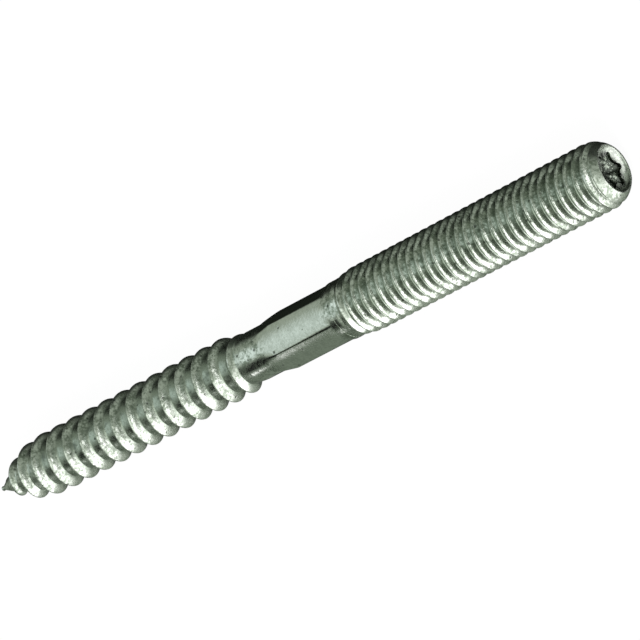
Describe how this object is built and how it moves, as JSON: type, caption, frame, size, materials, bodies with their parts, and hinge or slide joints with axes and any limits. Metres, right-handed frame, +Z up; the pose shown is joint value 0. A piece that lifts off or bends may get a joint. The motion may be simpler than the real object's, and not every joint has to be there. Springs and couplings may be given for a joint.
{
  "type": "hanger bolt",
  "caption": "Hanger bolt: a pointed wood-screw thread at one end, a metric machine thread with a six-lobe drive recess at the other, and a pressed hexagon between them.",
  "frame": {"origin": "on the surface that the bolt lies on, below its axis, halfway between its point and its drive face", "axes": "+X along the bolt's axis from the wood-screw point to the drive face, +Z up, so the bolt lies on its side with its axis 4 mm above the origin"},
  "size_m": [0.1, 0.008, 0.008],
  "materials": {
    "zinc_plated_steel": "bright zinc plate, slightly speckled"
  },
  "bodies": {
    "root": {"hanger_bolt": "zinc_plated_steel"}
  },
  "joints": []
}
